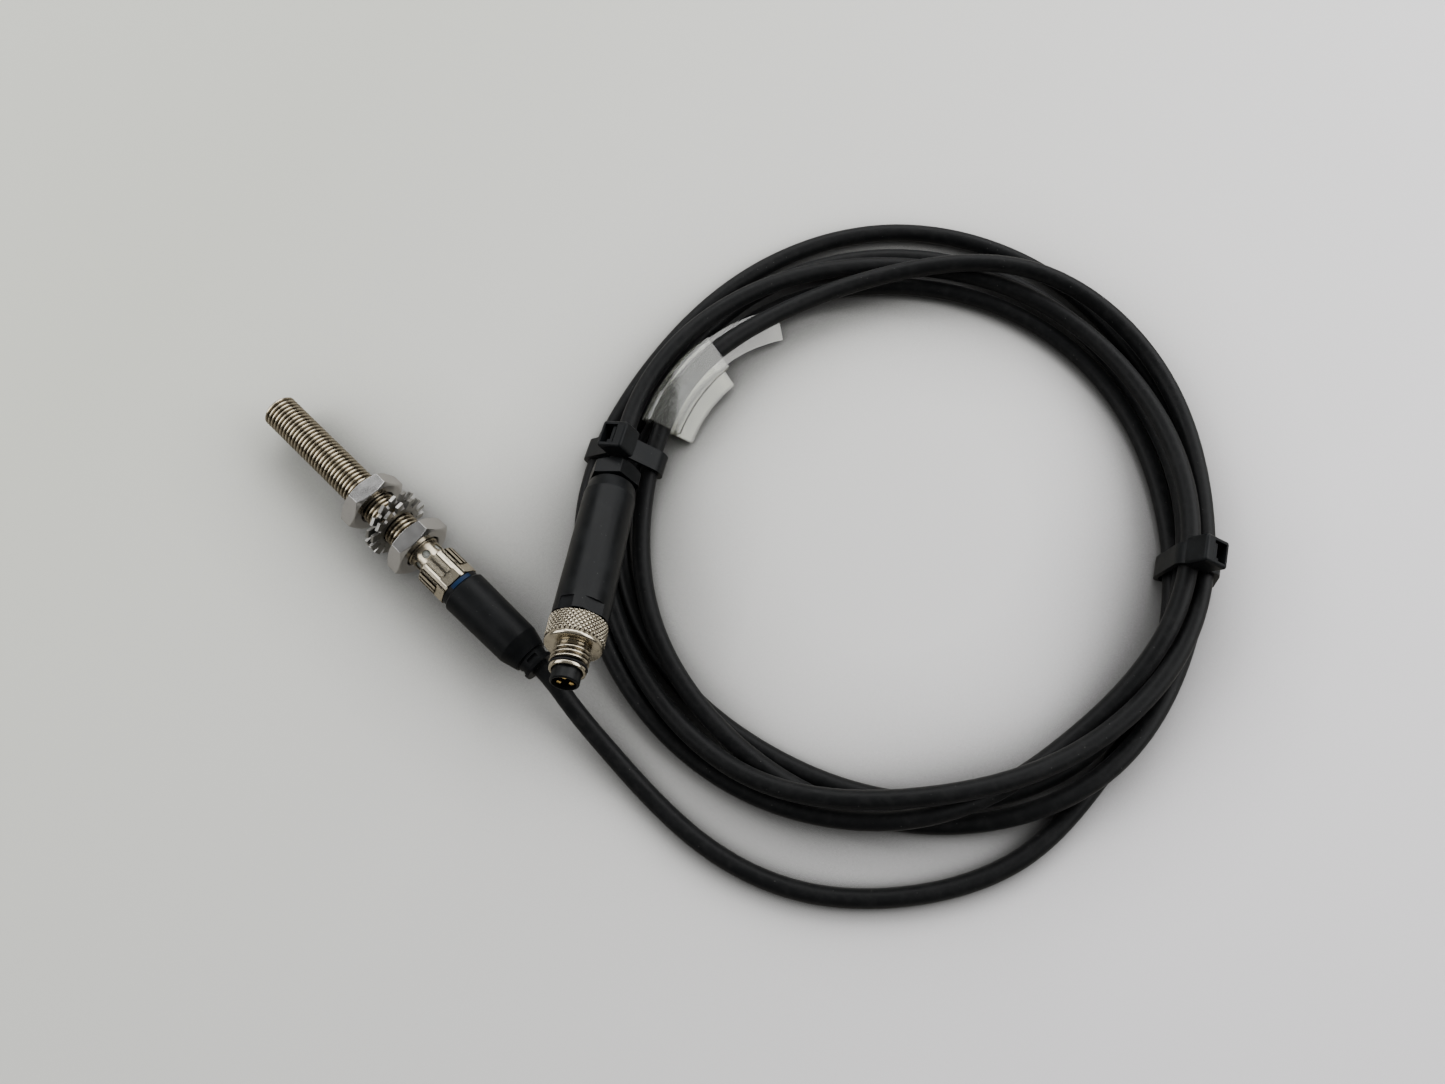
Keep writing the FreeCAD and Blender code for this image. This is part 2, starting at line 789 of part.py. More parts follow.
def plug_frame():
    """The plug's place: its X axis runs from the gland to the pins and points up a little."""
    turn = FreeCAD.Rotation(V(0, 0, 1), dim.plug_heading.value)
    rise = FreeCAD.Rotation(V(0, 1, 0), -dim.plug_tilt.value)
    place = V(dim.plug_x.value, dim.plug_y.value, dim.plug_z.value)
    return FreeCAD.Placement(place, turn * rise)


def cable_stations():
    """The points that the cable's axis passes through, from the grip to inside the plug."""
    start = dim.cable_start_x.value
    end = dim.grip_end.value
    points = [V(start, 0, 0), V((start + end) / 2, 0, 0), V(end - 2, 0, 0), V(end + 1, 0, 0)]
    points += [V(x, y, resting_height() + lift) for x, y, lift in TAIL]
    for index, (radius, lift) in enumerate(COIL):
        points.append(coil_point(FIRST_STATION + index * STATION_STEP, radius, lift))
    frame = plug_frame()
    points.append(coil_point(TURN + 163.5, 65.4, 5.9))
    points += [frame.multVec(V(x, 0, 0)) for x in (0.0, 7.0, 14.0)]
    return points


def cable_curve():
    curve = Part.BSplineCurve()
    curve.interpolate(cable_stations())
    return curve


def coil_parameter(curve, angle):
    """The curve's parameter where the cable passes an angle counted from the first station."""
    first = 4 + len(TAIL)
    place = (angle - FIRST_STATION) / STATION_STEP + first
    knots = curve.getKnots()
    low = int(place)
    part = place - low
    return knots[low] * (1 - part) + knots[low + 1] * part


def swept(curve, profile_at_start, start, end):
    """A closed wire carried along a stretch of the cable's axis, as a solid."""
    stops = [start, *(knot for knot in curve.getKnots() if start < knot < end), end]
    spine = Part.Wire([curve.toShape(low, high) for low, high in zip(stops, stops[1:])])
    sweep = Part.BRepOffsetAPI.MakePipeShell(spine)
    sweep.setFrenetMode(False)
    sweep.setMaxSegments(200)
    sweep.add(profile_at_start)
    sweep.build()
    sweep.makeSolid()
    return sweep.shape()


def crosswise(curve, parameter, up=V(0, 0, 1)):
    """A frame on the cable's axis: X along the cable, Y across it and Z nearest to up."""
    origin = curve.value(parameter)
    along = curve.tangent(parameter)[0]
    across = up.cross(along).normalize()
    upward = along.cross(across)
    matrix = FreeCAD.Matrix(
        along.x, across.x, upward.x, origin.x,
        along.y, across.y, upward.y, origin.y,
        along.z, across.z, upward.z, origin.z,
        0, 0, 0, 1,
    )
    return FreeCAD.Placement(matrix)


def circle_at(frame, radius, y=0.0, z=0.0):
    """A circular wire across the cable, off its axis by y and z."""
    centre = frame.multVec(V(0, y, z))
    normal = frame.Rotation.multVec(V(1, 0, 0))
    return Part.Wire([Part.makeCircle(radius, centre, normal)])


def build_cable(curve):
    start = curve.FirstParameter
    end = curve.LastParameter
    frame = crosswise(curve, start)
    outside = feature("jacket_outside",
                      swept(curve, circle_at(frame, dim.cable_radius.value), start, end))
    inside = feature("jacket_inside",
                     swept(curve, circle_at(frame, dim.jacket_bore_radius.value), start, end))
    piece(cut("jacket_tube", outside, inside), "cable_jacket")

    offset = dim.wire_circle.value
    for index, colour in enumerate(("brown", "blue", "black")):
        angle = math.radians(90 + index * 360 / PIN_COUNT)
        ring = circle_at(frame, dim.wire_radius.value,
                         offset * math.cos(angle), offset * math.sin(angle))
        piece(feature(colour + "_core_sweep", swept(curve, ring, start, end)),
              colour + "_core")


# ---- the plug --------------------------------------------------------------------------------


def build_gland(frame):
    head = hexagon("gland_head", dim.gland_flats, 0, dim.gland_head_length, 12.0)
    crown = turned("gland_crown", (
        (0, 0),
        (0, dim.gland_flats / 2 - 0.5),
        (1.0, dim.gland_flats / 2 + 0.75),
        (dim.gland_head_length, dim.gland_flats / 2 + 0.75),
        (dim.gland_head_length, 0),
    ))
    rounded = common("gland_rounded", head, crown)
    spigot = rod("gland_spigot", dim.gland_spigot_radius, dim.gland_head_length - 1,
                 dim.gland_spigot_end)
    bore = turned("gland_bore", (
        (-0.5, 0),
        (-0.5, dim.cable_radius + 0.2),
        (dim.gland_head_length, dim.cable_radius + 0.2),
        (dim.gland_head_length, dim.gland_bore_radius),
        (dim.gland_spigot_end + 1, dim.gland_bore_radius),
        (dim.gland_spigot_end + 1, 0),
    ))
    solid = fuse("gland_solid", [rounded, spigot])
    piece(cut("gland_bored", solid, bore), "plug_gland_nut", frame)

    start = dim.gland_head_length + 0.2
    end = dim.gland_spigot_end - 0.2
    piece(turned("gland_seal_body", (
        (start, dim.cable_radius + 0.1),
        (start, dim.gland_bore_radius - 0.15),
        (end, dim.gland_bore_radius - 0.15),
        (end, dim.cable_radius + 0.1),
    )), "plug_gland_seal", frame)

    # the clamp cage: a ring with six fingers that close on the cable
    start = dim.gland_spigot_end.value + 0.2
    ring = Part.makeCylinder(4.2, 1.2).cut(Part.makeCylinder(2.3, 1.2))
    fingers = Part.makeCylinder(3.3, 3.4).cut(Part.makeCylinder(2.3, 3.4))
    for index in range(NUT_SIDES):
        slit = Part.makeBox(4, 0.8, 2.4, V(0, -0.4, 1.2))
        slit.rotate(V(0, 0, 0), V(0, 0, 1), index * 360 / NUT_SIDES)
        fingers = fingers.cut(slit)
    cage = ring.fuse(fingers).removeSplitter()
    cage.Placement = FreeCAD.Placement(V(start, 0, 0), ALONG_X)
    piece(feature("clamp_cage_moulding", cage), "plug_clamp_cage", frame)


def build_plug_body(frame):
    blank = turned("plug_shell", (
        (dim.plug_body_x, dim.gland_spigot_radius + dim.fit_gap),
        (dim.plug_body_x, dim.plug_rear_radius),
        (dim.plug_taper_end, dim.plug_radius),
        (dim.plug_body_end, dim.plug_front_radius),
        (dim.plug_body_end, dim.plug_mouth_radius),
        (dim.plug_mouth_x, dim.plug_mouth_radius),
        (dim.plug_mouth_x, dim.plug_wall_radius),
        (dim.gland_spigot_end + 4, dim.plug_wall_radius),
        (dim.gland_spigot_end + 4, dim.gland_spigot_radius + dim.fit_gap),
    ))
    # two shallow coding recesses at the front, with a rib between them
    end = dim.plug_body_end.value
    floor = dim.plug_front_radius.value - 0.45
    narrow = around_x(Part.makeBox(2.9, 3.2, 2, V(end - 2.8, -1.6, floor)), 28.0)
    wide = around_x(Part.makeBox(2.9, 7.0, 2, V(end - 2.8, -3.5, floor)), -32.0)
    recesses = feature("plug_recesses", Part.makeCompound([narrow, wide]))
    doc.recompute()
    piece(cut("plug_moulding", blank, recesses), "plug_body", frame)


def build_thread_ring(frame):
    crest = dim.crest_radius
    lead = 0.3
    seal_x = dim.plug_thread_end + 0.1
    seal_end = seal_x + dim.plug_seal_thickness + 0.1
    blank = turned("ring_blank", (
        (dim.ring_sleeve_x, dim.ring_bore_radius),
        (dim.ring_sleeve_x, dim.ring_sleeve_radius),
        (dim.ring_x, dim.ring_sleeve_radius),
        (dim.ring_x, dim.ring_radius - 0.4),
        (dim.ring_x + 0.4, dim.ring_radius),
        (dim.ring_end - 0.4, dim.ring_radius),
        (dim.ring_end, dim.ring_radius - 0.4),
        (dim.ring_end, dim.undercut_radius),
        (dim.plug_thread_x, dim.undercut_radius),
        (dim.plug_thread_x, crest - lead),
        (dim.plug_thread_x + lead, crest),
        (seal_x, crest),
        (seal_x, dim.plug_seal_radius - dim.plug_seal_thickness / 2 - 0.03),
        (seal_end, dim.plug_seal_radius - dim.plug_seal_thickness / 2 - 0.03),
        (seal_end, crest - lead / 2),
        (dim.plug_tip_x, crest - lead),
        (dim.plug_tip_x, dim.ring_bore_radius),
    ))
    grooves = feature(
        "plug_thread_grooves",
        thread_grooves(dim.plug_thread_x.value + dim.thread_pitch.value / 2,
                       dim.plug_thread_end.value),
    )
    doc.recompute()
    piece(cut("ring_threaded", blank, grooves), "plug_thread_ring", frame)

    ring = doc.addObject("Part::Torus", "plug_seal_ring")
    bind(ring, "Radius1", dim.plug_seal_radius)
    bind(ring, "Radius2", dim.plug_seal_thickness / 2)
    ring.Placement = FreeCAD.Placement(V((seal_x.value + seal_end.value) / 2, 0, 0), ALONG_X)
    piece(ring, "plug_o_ring", frame)


def build_plug_insert(frame):
    blank = turned("insert_blank", (
        (dim.insert_block_x, 0),
        (dim.insert_block_x, dim.plug_mouth_radius - 0.15),
        (dim.insert_block_end, dim.plug_mouth_radius - 0.15),
        (dim.insert_block_end, dim.insert_radius),
        (dim.insert_end - 0.25, dim.insert_radius),
        (dim.insert_end, dim.insert_radius - 0.25),
        (dim.insert_end, dim.insert_cup_radius),
        (dim.insert_cup_x, dim.insert_cup_radius),
        (dim.insert_cup_x, 0),
    ))
    holes = contact_rods("insert_hole", dim.pin_radius + 0.05, dim.insert_block_x - 1,
                         dim.insert_end)
    screw_holes = feature("insert_screw_holes", screw_shape(dim.screw_radius.value + 0.1, 0.1))
    drills = fuse("insert_drills", [*holes, screw_holes])
    doc.recompute()
    piece(cut("insert_drilled", blank, drills), "plug_insert", frame)

    pins = contact_rods("plug_pin", dim.pin_radius, dim.plug_pin_x, dim.plug_pin_end)
    piece(fuse("plug_pin_set", pins), "plug_pins", frame)

    slot = screw_slots()
    screws = screw_shape(dim.screw_radius.value, 0.0).cut(slot)
    piece(feature("terminal_screw_set", screws), "terminal_screws", frame)


def screw_shape(radius, clearance):
    """Three radial screws, one over each contact's pin, as one compound."""
    foot = dim.pin_circle.value + dim.pin_radius.value + 0.1 - clearance
    head = dim.plug_mouth_radius.value - 0.3
    screws = []
    for index in range(PIN_COUNT):
        x = dim.screw_x.value + (index % 2) * 3
        reach = head - foot + (1 if clearance else 0)
        screw = Part.makeCylinder(radius, reach, V(x, 0, foot))
        screws.append(around_x(screw, index * 360 / PIN_COUNT))
    return Part.makeCompound(screws)


def screw_slots():
    head = dim.plug_mouth_radius.value - 0.3
    slots = []
    for index in range(PIN_COUNT):
        x = dim.screw_x.value + (index % 2) * 3
        slot = Part.makeBox(2.4, 0.3, 1, V(x - 1.2, -0.15, head - 0.35))
        slots.append(around_x(slot, index * 360 / PIN_COUNT))
    return Part.makeCompound(slots)


# ---- the cable ties ----------------------------------------------------------------------------


def tie_frame(angle, skew):
    """A tie's place on the coil: X points outward, Y up and Z back along the cable."""
    place = coil_point(angle, dim.tie_reach.value, 0)
    heading = math.radians(angle + dim.coil_heading.value + skew)
    outward = V(math.cos(heading), math.sin(heading), 0)
    back = V(math.sin(heading), -math.cos(heading), 0)
    matrix = FreeCAD.Matrix(
        outward.x, 0, back.x, place.x,
        outward.y, 0, back.y, place.y,
        0, 1, 0, 0,
        0, 0, 0, 1,
    )
    return FreeCAD.Placement(matrix)


def strand_crossings(curve, frame):
    """The (across, up) places where the strands cross a tie's two edges and its middle."""
    first, last = curve.FirstParameter, curve.LastParameter
    inward = frame.inverse()
    steps = [first + (last - first) * index / STRAND_SAMPLES for index in range(STRAND_SAMPLES + 1)]
    points = [inward.multVec(curve.value(step)) for step in steps]
    half = dim.tie_width.value / 2
    places = []
    for low, high in zip(points, points[1:]):
        for edge in (-half, 0.0, half):
            if (low.z - edge) * (high.z - edge) > 0 or abs(low.x) > dim.tie_reach.value / 3:
                continue
            share = (edge - low.z) / (high.z - low.z)
            crossing = low + (high - low) * share
            places.append((round(crossing.x, 3), round(crossing.y, 3)))
    return places


def convex_hull(places):
    """The corners of the convex hull, counter-clockwise."""
    ordered = sorted(set(places))

    def half(points):
        chain = []
        for point in points:
            while len(chain) > 1:
                (ax, ay), (bx, by) = chain[-2], chain[-1]
                if (bx - ax) * (point[1] - ay) - (by - ay) * (point[0] - ax) > 0:
                    break
                chain.pop()
            chain.append(point)
        return chain[:-1]

    return half(ordered) + half(ordered[::-1])


def strap_wire(corners, offset):
    """A band around a hull at a distance from its corners: straight runs joined by arcs."""
    edges = []
    count = len(corners)
    runs = []
    for index in range(count):
        (ax, ay), (bx, by) = corners[index], corners[(index + 1) % count]
        length = math.hypot(bx - ax, by - ay)
        normal = V((by - ay) / length, -(bx - ax) / length, 0)
        runs.append((V(ax, ay, 0) + normal * offset, V(bx, by, 0) + normal * offset, normal))
    for index, (start, finish, normal) in enumerate(runs):
        next_start, _, next_normal = runs[(index + 1) % count]
        edges.append(Part.LineSegment(start, finish).toShape())
        corner = V(*corners[(index + 1) % count], 0)
        middle = corner + (normal + next_normal).normalize() * offset
        edges.append(Part.Arc(finish, middle, next_start).toShape())
    return Part.Wire(edges)


def tie_head(hook_side):
    """A tie's head, seated on Z-Y: its window faces X and shows the pawl and the strap's end."""
    length = dim.tie_head_length.value
    breadth = dim.tie_head_width.value
    height = dim.tie_head_height.value
    block = Part.makeBox(height, length, breadth, V(0, -length / 2, -breadth / 2))
    block = block.makeFillet(0.7, [e for e in block.Edges if e.BoundBox.XMax > height - 0.01])
    window_y = dim.window_border.value - length / 2
    window_width = dim.window_width.value
    window_length = dim.window_length.value
    window = Part.makeBox(height, window_width, window_length,
                          V(1.2, window_y, -window_length / 2))
    pawl_length = window_length - 0.6
    pawl = Part.makeBox(height - 1.7, 0.75, pawl_length,
                        V(1.0, window_y + window_width - 1.5, -pawl_length / 2))
    hook_z = pawl_length / 2 - 0.8 if hook_side > 0 else -pawl_length / 2
    hook = Part.makeBox(height - 1.9, 0.9, 0.8, V(1.0, window_y + window_width - 2.3, hook_z))
    return block.cut(window).fuse([pawl, hook])


def build_tie(curve, label, angle, skew, lean, slide, hook_side):
    """A closed cable tie round the strands, with its head leaning and slid along the strap."""
    frame = tie_frame(angle, skew)
    corners = convex_hull(strand_crossings(curve, frame))
    inside = dim.cable_radius.value + 0.12
    thickness = dim.tie_thickness.value
    width = dim.tie_width.value
    outer = Part.Face(strap_wire(corners, inside + thickness))
    inner = Part.Face(strap_wire(corners, inside))
    strap = outer.cut(inner).extrude(V(0, 0, width))
    strap.translate(V(0, 0, -width / 2))

    normal = V(math.cos(math.radians(lean)), math.sin(math.radians(lean)), 0)
    tangent = V(-normal.y, normal.x, 0)
    corner = max((V(x, y, 0) for x, y in corners), key=normal.dot)
    seat = corner + normal * (inside + thickness * 0.5) + tangent * slide
    head = tie_head(hook_side)
    head.Placement = FreeCAD.Placement(seat, FreeCAD.Rotation(V(0, 0, 1), lean))
    tie = strap.fuse(head).removeSplitter()
    piece(feature(label + "_moulding", tie), label, frame)


# ---- the marker sleeve ---------------------------------------------------------------------------


def sleeve_frame(curve):
    """Where the sleeve is bent about: its X axis is the bend's axis, and Z points at its middle."""
    low = coil_parameter(curve, SLEEVE_FROM)
    high = coil_parameter(curve, SLEEVE_TO)
    first, middle, last = (curve.value(place) for place in (low, (low + high) / 2, high))
    axis = (middle - first).cross(last - middle).normalize()
    outward = (middle - (first + last) / 2).normalize()
    centre = middle - outward * dim.sleeve_bend_radius.value
    across = outward.cross(axis)
    matrix = FreeCAD.Matrix(
        axis.x, across.x, outward.x, centre.x,
        axis.y, across.y, outward.y, centre.y,
        axis.z, across.z, outward.z, centre.z,
        0, 0, 0, 1,
    )
    return FreeCAD.Placement(matrix)


def swung(degrees):
    return FreeCAD.Placement(V(0, 0, 0), FreeCAD.Rotation(V(1, 0, 0), degrees))


def build_sleeve(curve):
    """The clear sleeve: a channel round the cable and, towards the coil's centre, a flat flap."""
    bend = dim.sleeve_bend_radius
    half = dim.sleeve_half_width
    wall = dim.sleeve_wall
    top = dim.sleeve_top
    bottom = dim.sleeve_bottom
    flap_top = bottom + dim.sleeve_flap_thickness
    flap_edge = bend - half - dim.sleeve_flap
    frame = sleeve_frame(curve)

    shell = turned("sleeve_shell", (
        (bottom, flap_edge),
        (flap_top, flap_edge),
        (flap_top, bend - half),
        (top - 0.3, bend - half),
        (top, bend - half + 0.3),
        (top, bend + half - 0.6),
        (top - 0.6, bend + half),
        (bottom + 0.6, bend + half),
        (bottom, bend + half - 0.6),
    ), dim.sleeve_sweep)
    channel = turned("sleeve_channel", (
        (bottom + wall, bend - half + wall),
        (top - wall, bend - half + wall),
        (top - wall, bend + half - wall),
        (bottom + wall, bend + half - wall),
    ))
    pocket = turned("sleeve_pocket", (
        (bottom + wall, flap_edge + wall),
        (flap_top - wall, flap_edge + wall),
        (flap_top - wall, bend - half - wall / 2),
        (bottom + wall, bend - half - wall / 2),
    ))
    doc.recompute()
    hollow = fuse("sleeve_hollows", [channel, pocket])
    start = frame * swung(-dim.sleeve_sweep.value / 2)
    piece(cut("sleeve_extrusion", shell, hollow), "label_sleeve", start)

    # the strip lies on the channel's floor and sticks out of the sleeve's upper end
    low = bottom + wall + 0.05
    high = low + dim.strip_thickness
    reach = dim.strip_half_width
    strip = turned("strip_sheet", (
        (low, bend - reach), (high, bend - reach), (high, bend + reach), (low, bend + reach),
    ), dim.strip_sweep)
    lead = dim.strip_sweep.value - dim.sleeve_sweep.value / 2 + 1.5
    piece(strip, "label_strip", frame * swung(-lead))


# ---- the whole assembly ----------------------------------------------------------------------------

build_barrel()
build_sensing_head()
build_electronics()
build_sensor_pins()
build_nut("front_nut", dim.front_nut_x, -9.0)
build_nut("rear_nut", dim.rear_nut_x, 0.0)
build_washer("front_lock_washer", dim.front_washer_x, 7.5)
build_washer("rear_lock_washer", dim.rear_washer_x, 3.5)
build_coupling_nut()
build_socket()
build_grip()
cable_axis = cable_curve()
build_cable(cable_axis)
plug_place = plug_frame()
build_gland(plug_place)
build_plug_body(plug_place)
build_thread_ring(plug_place)
build_plug_insert(plug_place)
build_tie(cable_axis, "cable_tie_left", LEFT_TIE_ANGLE, -6.0, 62.0, 2.2, -1)
build_tie(cable_axis, "cable_tie_right", RIGHT_TIE_ANGLE, 0.0, 63.0, 0.75, 1)
build_sleeve(cable_axis)

doc.recompute()

faults = [item.Label for item in doc.Objects if {"Invalid", "Error"} & set(item.State)]
faults += [item.Label for item in pieces if item.Shape.isNull() or not item.Shape.isValid()]
if faults:
    raise SystemExit(f"these failed: {faults}")

os.makedirs("parts", exist_ok=True)
for item in pieces:
    item.Shape.exportStep(f"parts/{item.Label}.step")
    print(item.Label, len(item.Shape.Solids), round(item.Shape.Volume, 1))
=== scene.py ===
import json
import math

import bpy
from mathutils import Matrix, Vector


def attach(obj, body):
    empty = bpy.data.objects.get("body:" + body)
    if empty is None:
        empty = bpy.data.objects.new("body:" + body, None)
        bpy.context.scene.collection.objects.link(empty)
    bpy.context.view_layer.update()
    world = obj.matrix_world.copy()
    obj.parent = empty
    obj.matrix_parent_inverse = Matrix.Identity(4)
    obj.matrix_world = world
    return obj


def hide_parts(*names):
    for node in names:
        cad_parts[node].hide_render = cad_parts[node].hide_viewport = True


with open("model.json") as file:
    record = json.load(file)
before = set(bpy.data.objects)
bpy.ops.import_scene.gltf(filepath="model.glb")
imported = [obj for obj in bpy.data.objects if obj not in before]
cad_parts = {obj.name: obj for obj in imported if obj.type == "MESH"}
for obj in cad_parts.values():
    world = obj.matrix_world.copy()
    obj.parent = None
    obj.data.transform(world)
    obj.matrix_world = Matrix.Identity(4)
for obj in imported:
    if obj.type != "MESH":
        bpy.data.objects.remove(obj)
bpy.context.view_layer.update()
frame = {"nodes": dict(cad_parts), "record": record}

MM = 0.001

# ---- camera --------------------------------------------------------------------------------------

CAMERA_PLACE = Vector((0.14463, -0.00505, 0.22810))
LOOKING = Vector((-0.2057, 0.2170, -0.9542))
IMAGE_RIGHT = Vector((0.7258, 0.6879, 0.0))
SENSOR_WIDTH = 36.0
FOCAL_LENGTH = 27.03
NEAR_CLIP = 0.005


def build_camera():
    data = bpy.data.cameras.new("camera")
    data.sensor_width = SENSOR_WIDTH
    data.lens = FOCAL_LENGTH
    data.clip_start = NEAR_CLIP
    camera = bpy.data.objects.new("camera", data)
    bpy.context.scene.collection.objects.link(camera)
    back = -LOOKING.normalized()
    right = IMAGE_RIGHT.normalized()
    up = back.cross(right)
    camera.matrix_world = Matrix((
        (right.x, up.x, back.x, CAMERA_PLACE.x),
        (right.y, up.y, back.y, CAMERA_PLACE.y),
        (right.z, up.z, back.z, CAMERA_PLACE.z),
        (0, 0, 0, 1),
    ))
    bpy.context.scene.camera = camera


# ---- the node-based materials --------------------------------------------------------------------

DUST = (0.35, 0.35, 0.33)
JACKET_BLACK = (0.0036, 0.0039, 0.0042)
JACKET_SCUFFED = (0.0085, 0.0086, 0.0088)
JACKET_DUST = (0.30, 0.30, 0.28)
PLASTIC_SHINE = 0.13
JACKET_SHINE = 0.12
CLEAR_IOR = 1.45

class Recipe:
    """A material under construction: nodes are added to it, and it ends in one surface shader."""

    def __init__(self, name, colour, roughness, metallic=0.0):
        self.material = bpy.data.materials.new(name)
        self.material.use_nodes = True
        self.tree = self.material.node_tree
        self.surface = self.tree.nodes["Principled BSDF"]
        self.set("Base Color", (*colour, 1))
        self.set("Roughness", roughness)
        self.set("Metallic", metallic)
        self.place = self.add("ShaderNodeTexCoord").outputs["Object"]
        self.normal = None

    def set(self, socket, value):
        """Gives a surface input a plain value or another node's output."""
        self.feed(self.surface.inputs[socket], value)

    def feed(self, socket, value):
        if isinstance(value, bpy.types.NodeSocket):
            self.tree.links.new(value, socket)
        else:
            socket.default_value = value

    def add(self, kind, **settings):
        node = self.tree.nodes.new(kind)
        for key, value in settings.items():
            setattr(node, key, value)
        return node

    def noise(self, size, detail=3.0, stretch=(1, 1, 1), turn=(0, 0, 0), rough=0.55):
        """Clouds whose blobs are about size millimetres, from 0 to 1."""
        mapping = self.add("ShaderNodeMapping")
        self.feed(mapping.inputs["Vector"], self.place)
        mapping.inputs["Scale"].default_value = stretch
        mapping.inputs["Rotation"].default_value = turn
        node = self.add("ShaderNodeTexNoise")
        self.feed(node.inputs["Vector"], mapping.outputs["Vector"])
        node.inputs["Scale"].default_value = 1 / (size * MM)
        node.inputs["Detail"].default_value = detail
        node.inputs["Roughness"].default_value = rough
        return node.outputs["Fac"]

    def cells(self, size):
        """Distance to the nearest of scattered points that lie about size millimetres apart."""
        node = self.add("ShaderNodeTexVoronoi")
        self.feed(node.inputs["Vector"], self.place)
        node.inputs["Scale"].default_value = 1 / (size * MM)
        return node.outputs["Distance"]

    def ranged(self, value, low, high, to_low=0.0, to_high=1.0):
        node = self.add("ShaderNodeMapRange")
        self.feed(node.inputs["Value"], value)
        for socket, number in zip(("From Min", "From Max", "To Min", "To Max"),
                                  (low, high, to_low, to_high)):
            node.inputs[socket].default_value = number
        return node.outputs["Result"]

    def mixed(self, first, second, share):
        """A colour between two colours, by a share from 0 to 1."""
        node = self.add("ShaderNodeMix", data_type="RGBA")
        self.feed(node.inputs["Factor"], share)
        for socket, colour in ((node.inputs[6], first), (node.inputs[7], second)):
            self.feed(socket, colour if isinstance(colour, bpy.types.NodeSocket) else (*colour, 1))
        return node.outputs[2]

    def crevice(self, reach):
        """1 on open surfaces and down to 0 in grooves narrower than reach millimetres."""
        node = self.add("ShaderNodeAmbientOcclusion", samples=6)
        node.inputs["Distance"].default_value = reach * MM
        return node.outputs["AO"]

    def edges(self, reach):
        """Above 0 within reach millimetres of an edge, by how far the surface turns there."""
        softened = self.add("ShaderNodeBevel", samples=6)
        softened.inputs["Radius"].default_value = reach * MM
        facing = self.add("ShaderNodeVectorMath", operation="DOT_PRODUCT")
        self.feed(facing.inputs[0], softened.outputs["Normal"])
        self.feed(facing.inputs[1], self.add("ShaderNodeNewGeometry").outputs["Normal"])
        return self.ranged(facing.outputs["Value"], 1.0, 0.0)

    def rounded(self, radius):
        """Softens the look of sharp edges."""
        node = self.add("ShaderNodeBevel", samples=4)
        node.inputs["Radius"].default_value = radius * MM
        self.normal = node.outputs["Normal"]

    def bump(self, height, depth, strength=1.0):
        """Raises the surface by a height pattern, depth millimetres deep."""
        node = self.add("ShaderNodeBump")
        node.inputs["Distance"].default_value = depth * MM
        node.inputs["Strength"].default_value = strength
        self.feed(node.inputs["Height"], height)
        if self.normal is not None:
            self.feed(node.inputs["Normal"], self.normal)
        self.normal = node.outputs["Normal"]

    def done(self):
        if self.normal is not None:
            self.set("Normal", self.normal)
        return self.material


def turned_metal(name, colour, tarnish_and_groove_shade, roughness, groove=0.9, edge=0.06, deep=0.25):
    """Plated or bare metal: fine turning lines, cloudy roughness and tarnish stains, and painted
    shade that darkens its grooves.
    """
    made = Recipe(name, colour, roughness, metallic=1.0)
    made.rounded(edge)
    clouds = made.noise(1.6)
    lines = made.noise(0.05, detail=2.0, stretch=(1, 0.05, 0.05))
    made.bump(lines, 0.003, 0.5)
    # painted shade: the grooves are mixed towards the dark tarnish colour, the more the more
    # enclosed they are
    open_air = made.ranged(made.crevice(groove), deep, 0.95)
    groove_shaded = made.mixed(tarnish_and_groove_shade, colour, open_air)
    stained = made.mixed(groove_shaded, tarnish_and_groove_shade, made.ranged(clouds, 0.5, 0.8, 0.0, 0.35))
    made.set("Base Color", stained)
    made.set("Roughness", made.ranged(clouds, 0.3, 0.7, roughness * 0.75, roughness * 1.4))
    return made.done()


def bright_steel(name):
    """Polished stainless steel with hairline scratches and smudges."""
    made = Recipe(name, (0.66, 0.66, 0.66), 0.13, metallic=1.0)
    made.rounded(0.22)
    scratches = made.noise(0.12, detail=4.0, stretch=(0.15, 1, 1), turn=(0.4, 0.2, 0.9))
    made.bump(scratches, 0.001, 0.10)
    smudge = made.noise(2.8, detail=4.0)
    made.set("Roughness", made.ranged(smudge, 0.35, 0.7, 0.18, 0.27))
    shade = made.ranged(made.crevice(1.2), 0.2, 0.9)
    made.set("Base Color", made.mixed((0.10, 0.095, 0.09), (0.46, 0.455, 0.45), shade))
    return made.done()


def moulded(name, colour, roughness, grain=0.10, depth=0.012, dust=0.0, edge=0.12):
    """Moulded plastic: a fine eroded texture, uneven sheen and a little dust."""
    made = Recipe(name, colour, roughness)
    made.set("Specular IOR Level", PLASTIC_SHINE)
    made.rounded(edge)
    made.bump(made.noise(grain, detail=2.0), depth, 0.6)
    handled = made.noise(4.5, detail=3.0)
    lighter = tuple(channel * 1.9 + 0.004 for channel in colour)
    patchy = made.mixed(colour, lighter, made.ranged(handled, 0.45, 0.75, 0.0, 0.6))
    specks = made.ranged(made.cells(1.3), 0.035, 0.06, dust, 0.0)
    made.set("Base Color", made.mixed(patchy, DUST, specks))
    made.set("Roughness", made.ranged(handled, 0.3, 0.7, roughness * 0.85, roughness * 1.2))
    return made.done()


